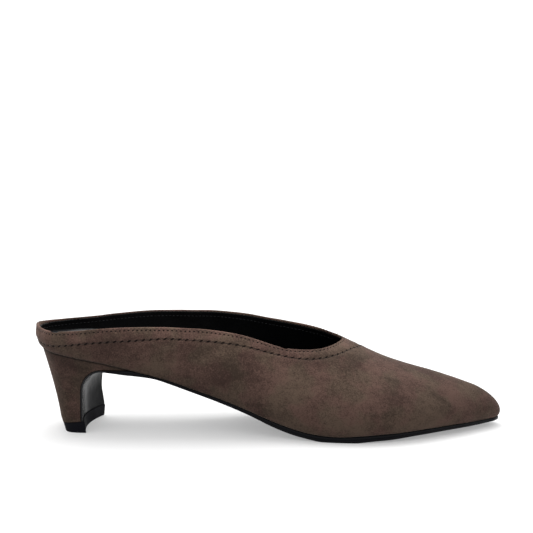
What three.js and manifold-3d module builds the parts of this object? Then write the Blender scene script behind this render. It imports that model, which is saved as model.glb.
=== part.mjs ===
// A woman's pointed mule with a low covered heel, right foot, in millimetres.
// +X runs from the heel to the toe, -Y is the outer (lateral) side, +Z is up from the floor.
// Every piece follows one last, which is worked out below from a few sizes and three short tables.

import * as THREE from "three";
import { ParametricGeometry } from "three/addons/geometries/ParametricGeometry.js";
import { mergeVertices } from "three/addons/utils/BufferGeometryUtils.js";
import Module from "manifold-3d";

const wasm = await Module();
wasm.setup();

// Driving sizes of the last
const shoeLength = 260;
const ballWidth = 72;
const instepHeight = 45;
const heelHeight = 45;

// Thicknesses, and the room left between neighbours
const wall = 1.9;
const insoleThickness = 2;
const sockThickness = 4;
const flapThickness = 1.3;
const soleMargin = 0.5;
const clearance = 0.3;

// The heel block and the lift below it
const heelBaseWidth = 35;
const heelBaseBack = 15.5;
const breastAt = 28.4;
const breastRadius = 12.5;
const breastRoof = 36;
const breastHollow = 3.4;
const breastSkew = 0.03;
const breastSpread = 1.6;
const liftHeight = 6;
const liftSlant = 0.08;
const liftProud = 0.7;
const liftBevel = 1;
const seatInset = 0.15;
const seatFlare = 1.45;
const backFlare = 1.3;
const baseSquareness = 0.5;

// The last's sections. spine and edge are shares of shoeLength: a section stands on the line from its
// foot on the spine to the feather edge, so the first and last few fan round the heel and the toe.
// The half widths, the crest's shift and the swing of each wall are shares of ballWidth. The crest's height
// above the feather and the height of the swing are shares of instepHeight. The fullness of each
// shoulder is a share of that side's half width.
const sectionColumns = [
  "spine", "edge", "lateral", "medial", "shift", "crest", "swingL", "swingM", "rise", "fullL", "fullM",
];
const sectionTable = [
  [0.107, 0.015, 0.0, 0.0, -0.021, 0.78, 0.186, 0.186, 0.215, 0.58, 0.58],
  [0.107, 0.02, 0.103, 0.099, -0.021, 0.78, 0.176, 0.176, 0.215, 0.59, 0.59],
  [0.107, 0.035, 0.211, 0.189, -0.021, 0.8, 0.146, 0.146, 0.2, 0.63, 0.63],
  [0.107, 0.061, 0.3, 0.267, -0.021, 0.89, 0.122, 0.122, 0.22, 0.72, 0.72],
  [0.107, 0.107, 0.349, 0.304, -0.021, 1.02, 0.106, 0.106, 0.27, 0.8, 0.8],
  [0.165, 0.165, 0.356, 0.304, -0.021, 1.2, 0.104, 0.104, 0.33, 0.86, 0.88],
  [0.227, 0.227, 0.35, 0.289, -0.014, 1.33, 0.119, 0.132, 0.4, 0.9, 0.98],
  [0.296, 0.296, 0.336, 0.267, 0.0, 1.42, 0.153, 0.181, 0.44, 0.9, 1.08],
  [0.365, 0.365, 0.328, 0.254, 0.014, 1.47, 0.181, 0.222, 0.49, 0.88, 1.05],
  [0.434, 0.434, 0.344, 0.269, 0.028, 1.42, 0.194, 0.236, 0.49, 0.75, 0.92],
  [0.503, 0.503, 0.392, 0.326, 0.042, 1.34, 0.194, 0.208, 0.42, 0.56, 0.82],
  [0.573, 0.573, 0.453, 0.408, 0.056, 1.24, 0.188, 0.174, 0.36, 0.5, 0.62],
  [0.634, 0.634, 0.492, 0.471, 0.058, 1.08, 0.188, 0.16, 0.31, 0.52, 0.6],
  [0.696, 0.696, 0.5, 0.506, 0.056, 0.89, 0.188, 0.153, 0.28, 0.56, 0.6],
  [0.757, 0.757, 0.467, 0.494, 0.042, 0.72, 0.167, 0.139, 0.24, 0.58, 0.6],
  [0.811, 0.811, 0.406, 0.436, 0.028, 0.61, 0.139, 0.125, 0.21, 0.6, 0.6],
  [0.861, 0.861, 0.329, 0.351, 0.014, 0.526, 0.111, 0.104, 0.18, 0.6, 0.6],
  [0.903, 0.903, 0.256, 0.258, 0.003, 0.45, 0.09, 0.09, 0.16, 0.6, 0.6],
  [0.938, 0.938, 0.186, 0.175, -0.006, 0.383, 0.076, 0.076, 0.13, 0.6, 0.6],
  [0.938, 0.962, 0.131, 0.113, -0.006, 0.383, 0.076, 0.076, 0.12, 0.6, 0.6],
  [0.938, 0.981, 0.087, 0.067, -0.006, 0.383, 0.076, 0.076, 0.11, 0.6, 0.6],
  [0.938, 0.992, 0.043, 0.022, -0.006, 0.383, 0.076, 0.076, 0.11, 0.6, 0.6],
  [0.938, 0.995, 0.01, -0.01, -0.006, 0.383, 0.076, 0.076, 0.11, 0.6, 0.6],
];

// The bottom seen from the side, the back end first: at is a share of shoeLength, and the feather
// edge and the tread below it are shares of heelHeight. The tread lies on the floor where it is 0.
const bottomColumns = ["at", "feather", "tread"];
const bottomTable = [
  [0.003, 1.007, 0.978],
  [0.015, 1.007, 0.978],
  [0.061, 0.98, 0.951],
  [0.107, 0.931, 0.9],
  [0.165, 0.867, 0.753],
  [0.227, 0.773, 0.727],
  [0.265, 0.713, 0.682],
  [0.296, 0.66, 0.62],
  [0.338, 0.569, 0.527],
  [0.38, 0.482, 0.436],
  [0.423, 0.389, 0.34],
  [0.465, 0.296, 0.242],
  [0.503, 0.209, 0.144],
  [0.542, 0.138, 0.067],
  [0.577, 0.093, 0.022],
  [0.603, 0.074, 0.0],
  [0.638, 0.068, 0.0],
  [0.669, 0.078, 0.0],
  [0.703, 0.09, 0.015],
  [0.742, 0.101, 0.034],
  [0.784, 0.112, 0.056],
  [0.83, 0.12, 0.069],
  [0.877, 0.122, 0.075],
  [0.919, 0.119, 0.074],
  [0.961, 0.113, 0.073],
  [0.996, 0.109, 0.074],
];

// The topline: at is a share of shoeLength, and each side's height above the feather is a share
// of instepHeight. Both sides meet the crest at the throat, the last row.
const collarColumns = ["at", "lateral", "medial"];
const collarTable = [
  [0.009, 0.268, 0.268],
  [0.034, 0.257, 0.277],
  [0.065, 0.269, 0.3],
  [0.107, 0.329, 0.364],
  [0.136, 0.375, 0.416],
  [0.165, 0.423, 0.467],
  [0.227, 0.531, 0.588],
  [0.296, 0.64, 0.706],
  [0.365, 0.765, 0.852],
  [0.434, 0.851, 0.971],
  [0.48, 0.874, 1.036],
  [0.527, 0.885, 1.093],
  [0.573, 0.918, 1.118],
  [0.611, 0.949, 1.102],
  [0.638, 0.978, 1.058],
  [0.661, 1.0, 1.0],
];

// How finely the surfaces are divided, and how near two points may be before they are one
const stationsPerRow = 2;
const wallSteps = 15;
const halvings = 30;
const throatSteps = 7;
const sliver = 0.01;
const weld = 1e-4;

const named = (columns, table) =>
  table.map((row) => Object.fromEntries(columns.map((name, i) => [name, row[i]])));
const sections = named(sectionColumns, sectionTable);
const bottom = named(bottomColumns, bottomTable);
const collar = named(collarColumns, collarTable);
const clamp = THREE.MathUtils.clamp;

// A smooth curve through four neighbouring values.
function smooth(a, b, c, d, f) {
  const bend = 2 * a - 5 * b + 4 * c - d;
  return 0.5 * (2 * b + (c - a) * f + bend * f * f + (3 * b - a - 3 * c + d) * f ** 3);
}

// The section at a place between the table's rows, every column smoothed.
function sectionAt(place) {
  const last = sections.length - 1;
  const i = clamp(Math.floor(place), 0, last - 1);
  const row = (k) => sections[clamp(k, 0, last)];
  const value = (name) =>
    smooth(row(i - 1)[name], row(i)[name], row(i + 1)[name], row(i + 2)[name], place - i);
  return Object.fromEntries(sectionColumns.map((name) => [name, value(name)]));
}

// A column of a table that is kept by its place along the shoe, smoothed, at x in millimetres.
function alongShoe(table, name, x) {
  const at = clamp(x / shoeLength, table[0].at, table[table.length - 1].at);
  let i = 0;
  while (i < table.length - 2 && table[i + 1].at < at) i += 1;
  const slope = (k) => {
    const before = table[Math.max(k - 1, 0)];
    const after = table[Math.min(k + 1, table.length - 1)];
    return (after[name] - before[name]) / (after.at - before.at);
  };
  const span = table[i + 1].at - table[i].at;
  const f = (at - table[i].at) / span;
  const start = (1 + 2 * f) * (1 - f) ** 2 * table[i][name] + f * (1 - f) ** 2 * span * slope(i);
  const end = f * f * (3 - 2 * f) * table[i + 1][name] - f * f * (1 - f) * span * slope(i + 1);
  return start + end;
}

const featherHeight = (x) => heelHeight * alongShoe(bottom, "feather", x);
const treadHeight = (x) => heelHeight * Math.max(alongShoe(bottom, "tread", x), 0);

// One side of a section, in the upright plane through its foot on the spine and its feather point:
// reach is the way out from the spine, along a unit direction, and height is measured from the floor.
function sideOf(place, side) {
  const s = sectionAt(place);
  const lateral = side === "lateral";
  const foot = new THREE.Vector2(s.spine * shoeLength, s.shift * ballWidth);
  const width = lateral ? -s.lateral : s.medial;
  const feather = new THREE.Vector2(s.edge * shoeLength, width * ballWidth);
  const out = feather.clone().sub(foot);
  const reach = out.length();
  out.normalize();
  const base = featherHeight(feather.x);
  const top = featherHeight(foot.x) + s.crest * instepHeight;
  return { s, lateral, foot, out, reach, base, top };
}

// The slope of the crest where the toe's sections fan, so that they all meet in one smooth dome.
const fanRow = sections.findIndex((row, i) => i > 0 && row.spine === sections.at(-1).spine);
const crestAt = (place) => {
  const s = sectionAt(place);
  return featherHeight(s.spine * shoeLength) + s.crest * instepHeight;
};
const toeSlope =
  (crestAt(fanRow) - crestAt(fanRow - 1)) /
  ((sections[fanRow].spine - sections[fanRow - 1].spine) * shoeLength);

// The last's profile: t runs from 0 at the feather to 1 at the crest, inset moves it inwards.
function profile(side, t, inset) {
  const { s, lateral, foot, out, reach, base, top } = side;
  const swing = (lateral ? s.swingL : s.swingM) * ballWidth;
  const full = (lateral ? s.fullL : s.fullM) * reach;
  const fall = foot.x > shoeLength / 2 ? toeSlope * full * Math.max(out.x, 0) : 0;
  const curve = new THREE.CubicBezierCurve(
    new THREE.Vector2(reach, base),
    new THREE.Vector2(reach + swing, base + s.rise * instepHeight),
    new THREE.Vector2(full, top + fall),
    new THREE.Vector2(0, top),
  );
  const p = curve.getPoint(t);
  const along = t < 1 ? curve.getTangent(t) : new THREE.Vector2(-1, 0);
  p.x -= along.y * inset;
  p.y += along.x * inset;
  return new THREE.Vector3(foot.x + out.x * p.x, foot.y + out.y * p.x, p.y);
}

// A point on the sole's plan, inset from the feather edge towards the spine, at a height.
function plan(side, inset, height) {
  const { foot, out, reach } = side;
  const x = foot.x + out.x * (reach - inset);
  const y = foot.y + out.y * (reach - inset);
  return new THREE.Vector3(x, y, height(x));
}

// A ring drawn in to its middle.
function toMiddle(ring) {
  const middle = ring.reduce((sum, p) => sum.add(p), new THREE.Vector3()).divideScalar(ring.length);
  return ring.map(() => middle);
}

// A closed surface through rings of equally many points, with a last ring drawn in at each end.
function closedSkin(rings, drawnIn) {
  const all = [drawnIn(rings[0]), ...rings, drawnIn(rings.at(-1))];
  const around = rings[0].length;
  const point = (u, v, target) => {
    const ring = all[Math.round(v * (all.length - 1))];
    target.copy(ring[Math.round(u * around) % around]);
  };
  return new ParametricGeometry(point, around, all.length - 1);
}

// A closed geometry as a solid that can be joined and cut.
function solid(geometry) {
  const bare = geometry.clone();
  bare.deleteAttribute("normal");
  bare.deleteAttribute("uv");
  const merged = mergeVertices(bare, weld);
  const triVerts = [];
  for (let i = 0; i < merged.index.count; i += 3) {
    const [a, b, c] = [0, 1, 2].map((k) => merged.index.getX(i + k));
    if (a !== b && b !== c && c !== a) triVerts.push(a, b, c);
  }
  const mesh = new wasm.Mesh({
    numProp: 3,
    vertProperties: merged.attributes.position.array,
    triVerts: new Uint32Array(triVerts),
  });
  return new wasm.Manifold(mesh);
}

// A solid as a named mesh in its own material, with the slivers that a cut leaves smoothed away.
function piece(name, body, finish) {
  const mesh = body.simplify(sliver).getMesh();
  const geometry = new THREE.BufferGeometry();
  geometry.setAttribute("position", new THREE.BufferAttribute(mesh.vertProperties, 3));
  geometry.setIndex(new THREE.BufferAttribute(mesh.triVerts, 1));
  geometry.computeVertexNormals();
  const made = new THREE.Mesh(geometry, new THREE.MeshStandardMaterial(finish));
  made.name = name;
  return made;
}

const lastPlace = sections.length - 1;
const places = Array.from({ length: lastPlace * stationsPerRow + 1 }, (_, i) => i / stationsPerRow);
const steps = Array.from({ length: wallSteps + 1 }, (_, i) => i / wallSteps);

// How far the cutting shapes reach past the shoe: a little way, and past its top.
const deep = 8;
const far = 120;

// Where the topline crosses one side of a section, found by halving the way up to the crest.
function toplineShare(place, side) {
  const here = sideOf(place, side);
  const throat = collar.at(-1).at * shoeLength;
  if (here.foot.x >= throat) return 1;
  const height = (x) => featherHeight(x) + instepHeight * alongShoe(collar, side, x);
  let low = 0;
  let high = 1;
  for (let i = 0; i < halvings; i += 1) {
    const t = (low + high) / 2;
    const p = profile(here, t, 0);
    if (p.z < height(p.x)) low = t;
    else high = t;
  }
  return high;
}

// The place where the spine reaches a share of the shoe's length.
function placeAt(share) {
  let low = 0;
  let high = lastPlace;
  for (let i = 0; i < halvings; i += 1) {
    const middle = (low + high) / 2;
    if (sectionAt(middle).spine < share) low = middle;
    else high = middle;
  }
  return high;
}

// The stations of the upper: the shared ones, and closer ones where the topline turns in to the throat.
const throatPlace = placeAt(collar.at(-1).at);
const throatRun = 1;
const stepBefore = 0.1;
const stepAfter = 0.2;
const throatStations = Array.from(
  { length: throatSteps + 1 },
  (_, i) => throatPlace - throatRun * (i / throatSteps) ** 2,
).toReversed();
const upperPlaces = [
  ...places.filter((place) => place < throatPlace - throatRun - stepBefore),
  ...throatStations,
  ...places.filter((place) => place > throatPlace + stepAfter),
];

// One side of the upper from the back seam to the toe: up the outer face to the topline or the crest,
// over the edge and down the inner face. Low on the wall the points keep the same places whether the
// topline is near or far, so no line runs down from the throat. A ring's halves face each other, so
// its ends close along the middle of the wall.
const lowHold = 4;
function upperSide(side) {
  const rings = upperPlaces.map((place) => {
    const here = sideOf(place, side);
    const top = toplineShare(place, side);
    const climb = steps.map((t) => t * (top + (1 - top) * (1 - t) ** lowHold));
    const outer = climb.map((t) => profile(here, t, 0));
    const inner = climb.map((t) => profile(here, t, wall));
    const down = side === "lateral";
    const loop = [...outer, ...inner.toReversed()];
    return down ? loop.toReversed() : loop;
  });
  const midline = (ring) =>
    ring.map((p, i) => p.clone().add(ring[ring.length - 1 - i]).divideScalar(2));
  return solid(closedSkin(rings, midline));
}

// A side view's outline, in x and height, carried across the shoe.
function acrossShoe(outline, slices) {
  const shape = new THREE.Shape(outline);
  const how = { depth: 2 * ballWidth, steps: slices, bevelEnabled: false };
  const slab = new THREE.ExtrudeGeometry(shape, how);
  slab.rotateX(Math.PI / 2);
  slab.translate(0, ballWidth, 0);
  return slab;
}

// The outline of the feather edge in plan, with a margin, from one place to the end.
function planOutline(from, margin) {
  const there = places.filter((place) => place >= from);
  const flat = (side) => (place) => {
    const p = plan(sideOf(place, side), -margin, () => 0);
    return new THREE.Vector2(p.x, p.y);
  };
  return [...there.map(flat("lateral")), ...there.toReversed().map(flat("medial"))];
}

// The space over or under that outline, from one place to the toe.
function planArea(from, margin) {
  const shape = new THREE.Shape(planOutline(from, margin));
  return solid(new THREE.ExtrudeGeometry(shape, { depth: heelHeight + far, bevelEnabled: false }));
}

// Where the bottom's side view has its points, from one length on.
const stretchFrom = (start) =>
  places.map((place) => sectionAt(place).edge * shoeLength).filter((x) => x >= start);

// A slab that follows the bottom between two heights.
function layer(low, high) {
  const stretch = stretchFrom(0);
  const outline = [
    new THREE.Vector2(-deep, low(0)),
    ...stretch.map((x) => new THREE.Vector2(x, low(x))),
    ...stretch.toReversed().map((x) => new THREE.Vector2(x, high(x))),
    new THREE.Vector2(-deep, high(0)),
  ];
  return solid(acrossShoe(outline, 1));
}

// The room inside the upper, at a depth from its outer face: both sides' profiles make one ring.
function roomInside(inset) {
  const rings = places.map((place) => {
    const up = steps.map((t) => profile(sideOf(place, "medial"), t, inset));
    const down = steps.map((t) => profile(sideOf(place, "lateral"), t, inset)).toReversed();
    return [...up, ...down];
  });
  return solid(closedSkin(rings, toMiddle));
}

const breastSteps = 7;
const breastSlices = 16;
const wedgeRow = 6;
const soleOverlap = 0.5;
const heelFront = sections[wedgeRow].edge * shoeLength;
const seatAxis = sections[0].shift * ballWidth;

// The heel's breast, seen from the side, at a distance in front of it: up, round and forward.
function breastLine(ahead, foot) {
  const radius = breastRadius - ahead;
  const heartX = breastAt + breastRadius;
  const heartZ = breastRoof - breastRadius;
  const arc = Array.from({ length: breastSteps + 1 }, (_, i) => {
    const turn = Math.PI - (i / breastSteps) * (Math.PI / 2);
    return new THREE.Vector2(heartX + radius * Math.cos(turn), heartZ + radius * Math.sin(turn));
  });
  return [new THREE.Vector2(breastAt + ahead, foot), ...arc];
}

// The breast is hollow across and a little skewed, fading out where it turns forward under the arch.
function hollowBreast(geometry) {
  const at = geometry.attributes.position;
  const arcEnd = breastAt + breastRadius;
  for (let i = 0; i < at.count; i += 1) {
    const across = clamp((at.getY(i) - seatAxis) / (heelBaseWidth / 2), -breastSpread, breastSpread);
    const fade = at.getX(i) > arcEnd ? 0 : clamp((breastRoof - at.getZ(i)) / breastRadius, 0, 1);
    const shift = breastSkew * (at.getY(i) - seatAxis) - breastHollow * (1 - across ** 2);
    at.setX(i, at.getX(i) + shift * fade);
  }
  return geometry;
}

// The block's outline at a share of the way from its base to the seat, in plan. The base is a squarer
// shape than the seat, and it is drawn in along the back and the sides.
function heelOutline(share, inset) {
  const there = places.filter((place) => place <= wedgeRow);
  const seatBack = sections[0].edge * shoeLength;
  const pull = (breastAt - heelBaseBack) / (breastAt - seatBack);
  const flat = (side) => (place) => {
    const p = plan(sideOf(place, side), seatInset, () => 0);
    const sign = side === "lateral" ? -1 : 1;
    const widest = Math.max(...sections.slice(0, wedgeRow).map((row) => row[side]));
    const round = clamp(sectionAt(place)[side] / widest, 0, 1) ** baseSquareness;
    const baseX = p.x < breastAt ? heelBaseBack + (p.x - seatBack) * pull : p.x;
    const baseY = seatAxis + (sign * heelBaseWidth * round) / 2;
    const x = THREE.MathUtils.lerp(baseX, p.x, share ** backFlare);
    const y = THREE.MathUtils.lerp(baseY, p.y, share ** seatFlare);
    const backward = clamp((breastAt - p.x) / (breastAt - seatBack), 0, 1);
    return new THREE.Vector2(x + inset * backward, y - sign * inset * round);
  };
  return [...there.map(flat("lateral")), ...there.slice(1).toReversed().map(flat("medial"))];
}

const liftTop = (x) => liftHeight + (x - breastAt) * liftSlant;
const heelLevels = [0, 0.1, 0.22, 0.35, 0.5, 0.65, 0.8, 0.92, 1];

// The block before its breast and seat are cut: it reaches from the lift up past the seat.
function heelBlock() {
  const ringAt = (share, height) =>
    heelOutline(share, 0).map((p) => new THREE.Vector3(p.x, p.y, height(p.x)));
  const rings = heelLevels.map((share) =>
    ringAt(share, (x) => THREE.MathUtils.lerp(liftTop(x) + clearance, featherHeight(x), share)),
  );
  return solid(closedSkin([...rings, ringAt(1, () => heelHeight + deep)], toMiddle));
}

// Everything in front of the breast, at a distance from it, up to a height under the arch.
function beforeBreast(ahead) {
  const outline = [
    ...breastLine(ahead, -deep),
    new THREE.Vector2(heelFront + deep, breastRoof - ahead),
    new THREE.Vector2(heelFront + deep, -deep),
  ];
  return solid(hollowBreast(acrossShoe(outline, breastSlices)));
}

// Everything over the bottom line, from which the seat is cut.
function overSeat() {
  const line = stretchFrom(0)
    .filter((x) => x <= heelFront + deep)
    .map((x) => new THREE.Vector2(x, featherHeight(x) - clearance));
  const outline = [
    new THREE.Vector2(-deep, line[0].y),
    ...line,
    new THREE.Vector2(line.at(-1).x, far),
    new THREE.Vector2(-deep, far),
  ];
  return solid(acrossShoe(outline, 1));
}

// The outsole's side view: along the feather from the toe, over the arch, round and down the breast.
function outsoleSlab() {
  const roofed = (x) => Math.min(breastRoof, featherHeight(x)) - clearance;
  const arch = stretchFrom(breastAt + breastRadius);
  const upper = arch.map((x) => new THREE.Vector2(x, roofed(x)));
  const underRoof = breastRoof - clearance - flapThickness;
  const lower = stretchFrom(breastAt + breastRadius + flapThickness)
    .map((x) => new THREE.Vector2(x, Math.min(treadHeight(x), underRoof)))
    .toReversed();
  const reachX = shoeLength + deep;
  const outline = [
    ...breastLine(clearance, 0),
    ...upper,
    new THREE.Vector2(reachX, featherHeight(shoeLength) - clearance),
    new THREE.Vector2(reachX, treadHeight(shoeLength)),
    ...lower,
    ...breastLine(clearance + flapThickness, 0).toReversed(),
  ];
  return solid(hollowBreast(acrossShoe(outline, breastSlices)));
}

// The lift: the heel's base carried down to the floor, its lower rim bevelled.
function liftBlock() {
  const ringAt = (inset, height) =>
    heelOutline(0, inset).map((p) => new THREE.Vector3(p.x, p.y, height(p.x)));
  const rings = [ringAt(liftBevel, () => 0), ringAt(0, () => liftBevel), ringAt(0, liftTop)];
  return solid(closedSkin(rings, toMiddle));
}

const suede = { color: 0x5a4a41, roughness: 0.95, metalness: 0 };
const blackLeather = { color: 0x141416, roughness: 0.4, metalness: 0 };
const rubber = { color: 0x17181c, roughness: 0.7, metalness: 0 };
const board = { color: 0x8a7258, roughness: 0.9, metalness: 0 };

const upper = upperSide("lateral").add(upperSide("medial"));

const boardTop = (x) => featherHeight(x) + insoleThickness;
const insole = layer(featherHeight, boardTop).intersect(planArea(0, -wall - clearance));
const sockBase = (x) => boardTop(x) + clearance;
const sockTop = (x) => sockBase(x) + sockThickness;
const sock = layer(sockBase, sockTop).intersect(roomInside(wall + clearance));

const block = heelBlock();
const heel = block.subtract(beforeBreast(0)).subtract(overSeat());

const outsole = outsoleSlab().intersect(planArea(wedgeRow - soleOverlap, soleMargin).add(block));

const lift = liftBlock().subtract(beforeBreast(clearance + flapThickness + liftProud));

const shoe = new THREE.Group();
shoe.add(
  piece("upper", upper, suede),
  piece("insole", insole, board),
  piece("sock", sock, blackLeather),
  piece("outsole", outsole, blackLeather),
  piece("heel", heel, suede),
  piece("top_piece", lift, rubber),
);

// The origin is on the floor, under the middle of the whole shoe.
const box = new THREE.Box3().setFromObject(shoe);
const middle = box.getCenter(new THREE.Vector3());
shoe.position.set(-middle.x, -middle.y, 0);

export default shoe;
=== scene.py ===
import math

import bmesh
import bpy
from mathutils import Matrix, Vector, noise
from mathutils.kdtree import KDTree


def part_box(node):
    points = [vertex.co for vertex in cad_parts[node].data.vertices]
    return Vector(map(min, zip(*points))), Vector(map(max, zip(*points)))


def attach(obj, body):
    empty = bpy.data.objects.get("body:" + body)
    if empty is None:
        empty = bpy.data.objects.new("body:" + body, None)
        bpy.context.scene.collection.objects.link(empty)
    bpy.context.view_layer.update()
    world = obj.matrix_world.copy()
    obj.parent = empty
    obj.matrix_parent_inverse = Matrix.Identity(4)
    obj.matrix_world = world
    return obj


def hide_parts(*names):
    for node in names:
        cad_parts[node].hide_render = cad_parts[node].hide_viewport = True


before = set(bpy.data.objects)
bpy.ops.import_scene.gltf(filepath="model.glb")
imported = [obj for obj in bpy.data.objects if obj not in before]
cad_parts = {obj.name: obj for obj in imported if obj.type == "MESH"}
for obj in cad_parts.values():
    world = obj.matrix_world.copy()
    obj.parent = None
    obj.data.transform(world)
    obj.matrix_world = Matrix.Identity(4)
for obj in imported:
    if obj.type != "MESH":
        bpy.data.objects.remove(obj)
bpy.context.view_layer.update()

# Upper
# The suede outside of the mule: one lateral and one medial quarter, seamed at the centre back and folded
# over at the topline. It is pulled over a last, so its shape is worked out from the last's own sections.

SHOE_LENGTH = 0.260
BALL_WIDTH = 0.072
INSTEP_HEIGHT = 0.045
HEEL_HEIGHT = 0.045
WALL = 0.0019
SUEDE_THICKNESS = 0.0012
HALVINGS = 30
MERGE = 1e-6

# The sections: spine and edge are shares of the shoe's length, the widths, the shift and the swings are
# shares of the ball width, and the crest and the rise are shares of the instep height.
SECTION_COLUMNS = (
    "spine", "edge", "lateral", "medial", "shift", "crest", "swingL", "swingM", "rise", "fullL", "fullM",
)
SECTION_TABLE = (
    (0.107, 0.015, 0.0, 0.0, -0.021, 0.78, 0.186, 0.186, 0.215, 0.58, 0.58),
    (0.107, 0.02, 0.103, 0.099, -0.021, 0.78, 0.176, 0.176, 0.215, 0.59, 0.59),
    (0.107, 0.035, 0.211, 0.189, -0.021, 0.8, 0.146, 0.146, 0.2, 0.63, 0.63),
    (0.107, 0.061, 0.3, 0.267, -0.021, 0.89, 0.122, 0.122, 0.22, 0.72, 0.72),
    (0.107, 0.107, 0.349, 0.304, -0.021, 1.02, 0.106, 0.106, 0.27, 0.8, 0.8),
    (0.165, 0.165, 0.356, 0.304, -0.021, 1.2, 0.104, 0.104, 0.33, 0.86, 0.88),
    (0.227, 0.227, 0.35, 0.289, -0.014, 1.33, 0.119, 0.132, 0.4, 0.9, 0.98),
    (0.296, 0.296, 0.336, 0.267, 0.0, 1.42, 0.153, 0.181, 0.44, 0.9, 1.08),
    (0.365, 0.365, 0.328, 0.254, 0.014, 1.47, 0.181, 0.222, 0.49, 0.88, 1.05),
    (0.434, 0.434, 0.344, 0.269, 0.028, 1.42, 0.194, 0.236, 0.49, 0.75, 0.92),
    (0.503, 0.503, 0.392, 0.326, 0.042, 1.34, 0.194, 0.208, 0.42, 0.56, 0.82),
    (0.573, 0.573, 0.453, 0.408, 0.056, 1.24, 0.188, 0.174, 0.36, 0.5, 0.62),
    (0.634, 0.634, 0.492, 0.471, 0.058, 1.08, 0.188, 0.16, 0.31, 0.52, 0.6),
    (0.696, 0.696, 0.5, 0.506, 0.056, 0.89, 0.188, 0.153, 0.28, 0.56, 0.6),
    (0.757, 0.757, 0.467, 0.494, 0.042, 0.72, 0.167, 0.139, 0.24, 0.58, 0.6),
    (0.811, 0.811, 0.406, 0.436, 0.028, 0.61, 0.139, 0.125, 0.21, 0.6, 0.6),
    (0.861, 0.861, 0.329, 0.351, 0.014, 0.528, 0.111, 0.104, 0.18, 0.6, 0.6),
    (0.903, 0.903, 0.256, 0.258, 0.003, 0.454, 0.09, 0.09, 0.16, 0.6, 0.6),
    (0.938, 0.938, 0.186, 0.175, -0.006, 0.389, 0.076, 0.076, 0.13, 0.6, 0.6),
    (0.938, 0.962, 0.131, 0.113, -0.006, 0.389, 0.076, 0.076, 0.12, 0.6, 0.6),
    (0.938, 0.981, 0.087, 0.067, -0.006, 0.389, 0.076, 0.076, 0.11, 0.6, 0.6),
    (0.938, 0.992, 0.043, 0.022, -0.006, 0.389, 0.076, 0.076, 0.11, 0.6, 0.6),
    (0.938, 0.995, 0.01, -0.01, -0.006, 0.389, 0.076, 0.076, 0.11, 0.6, 0.6),
)

# The bottom's side view: the feather edge and the tread as shares of the heel height.
BOTTOM_COLUMNS = ("at", "feather", "tread")
BOTTOM_TABLE = (
    (0.003, 1.007, 0.978), (0.015, 1.007, 0.978), (0.061, 0.98, 0.951), (0.107, 0.931, 0.9),
    (0.165, 0.867, 0.753), (0.227, 0.773, 0.718), (0.265, 0.713, 0.682), (0.296, 0.66, 0.62),
    (0.338, 0.569, 0.527), (0.38, 0.482, 0.436), (0.423, 0.389, 0.34), (0.465, 0.296, 0.242),
    (0.503, 0.209, 0.144), (0.542, 0.138, 0.068), (0.577, 0.093, 0.024), (0.603, 0.074, 0.0),
    (0.638, 0.068, 0.0), (0.669, 0.078, 0.0), (0.703, 0.09, 0.018), (0.742, 0.101, 0.03),
    (0.784, 0.112, 0.05), (0.83, 0.12, 0.062), (0.877, 0.122, 0.068), (0.919, 0.119, 0.068),
    (0.961, 0.113, 0.069), (0.996, 0.109, 0.07),
)

# Heights above the feather edge, as shares of the instep height: the topline, and the row of bold
# stitches that holds the lining's tape below it. Where a line reaches the crest it crosses over.
LINE_COLUMNS = ("at", "lateral", "medial")
TOPLINE_TABLE = (
    (0.009, 0.257, 0.257), (0.034, 0.246, 0.266), (0.065, 0.258, 0.29), (0.107, 0.318, 0.353),
    (0.136, 0.364, 0.405), (0.165, 0.412, 0.456), (0.227, 0.522, 0.58), (0.296, 0.633, 0.698),
    (0.365, 0.758, 0.844), (0.434, 0.844, 0.963), (0.48, 0.867, 1.028), (0.527, 0.878, 1.086),
    (0.573, 0.911, 1.111), (0.611, 0.942, 1.095), (0.638, 0.973, 1.052), (0.661, 1.0, 1.0),
)
BOLD_ROW_TABLE = (
    (0.009, 0.1, 0.1), (0.034, 0.081, 0.09), (0.065, 0.096, 0.109), (0.107, 0.168, 0.177),
    (0.165, 0.262, 0.291), (0.227, 0.377, 0.43), (0.296, 0.512, 0.571), (0.365, 0.634, 0.714),
    (0.434, 0.734, 0.841), (0.48, 0.773, 0.921), (0.527, 0.798, 0.988), (0.573, 0.821, 1.012),
    (0.611, 0.85, 0.996), (0.638, 0.874, 0.955), (0.661, 0.895, 0.922), (0.681, 0.9, 0.9),
    (0.698, 0.885, 0.885),
)


def named(columns, table):
    return [dict(zip(columns, row)) for row in table]


SECTIONS = named(SECTION_COLUMNS, SECTION_TABLE)
BOTTOM = named(BOTTOM_COLUMNS, BOTTOM_TABLE)
TOPLINE = named(LINE_COLUMNS, TOPLINE_TABLE)
BOLD_ROW = named(LINE_COLUMNS, BOLD_ROW_TABLE)
LAST_PLACE = len(SECTIONS) - 1
TOE_FAN = next(i for i, row in enumerate(SECTIONS) if row["spine"] == SECTIONS[-1]["spine"])


# A smooth curve through four values of a table, taken between the middle two.
def smooth(a, b, c, d, f):
    bend = 2 * a - 5 * b + 4 * c - d
    return 0.5 * (2 * b + (c - a) * f + bend * f * f + (3 * b - a - 3 * c + d) * f ** 3)


def section_at(place):
    i = min(max(math.floor(place), 0), LAST_PLACE - 1)
    rows = [SECTIONS[min(max(k, 0), LAST_PLACE)] for k in range(i - 1, i + 3)]
    return {name: smooth(*(row[name] for row in rows), place - i) for name in SECTION_COLUMNS}


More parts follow.
